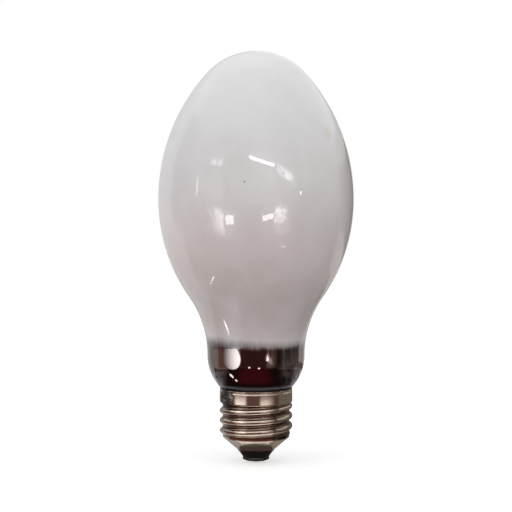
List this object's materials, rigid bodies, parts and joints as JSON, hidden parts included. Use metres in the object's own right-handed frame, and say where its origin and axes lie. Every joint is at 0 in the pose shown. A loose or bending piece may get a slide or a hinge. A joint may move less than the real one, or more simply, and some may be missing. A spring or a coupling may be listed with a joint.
{
  "type": "high pressure sodium lamp",
  "caption": "Elliptical white-coated discharge lamp with a mirrored neck, in a nickel-plated screw cap with a black glass insulator and a soldered centre contact.",
  "frame": {"origin": "tip of the centre contact, on the lamp's axis", "axes": "+Z along the axis, from the cap up to the crown of the bulb; the side solder faces -X and a little -Y"},
  "size_m": [0.0704, 0.0704, 0.148],
  "materials": {
    "coated_glass": "glossy glass, coated white inside, with a dark mirror in the neck",
    "nickel_plate": "bright nickel plate with a warm tint",
    "basing_cement": "matt",
    "black_glass": "glossy moulded black glass",
    "contact_brass": "satin",
    "bright_solder": "smooth solder",
    "lead_wire": "drawn wire",
    "dull_solder": "dull, dark and uneven"
  },
  "bodies": {
    "root": {"glass_bulb": "coated_glass", "screw_shell": "nickel_plate", "basing_cement": "basing_cement", "base_insulator": "black_glass", "centre_contact": "contact_brass", "centre_solder": "bright_solder", "centre_lead_wire": "lead_wire", "side_lead_wire": "lead_wire", "side_solder": "dull_solder"}
  },
  "joints": []
}
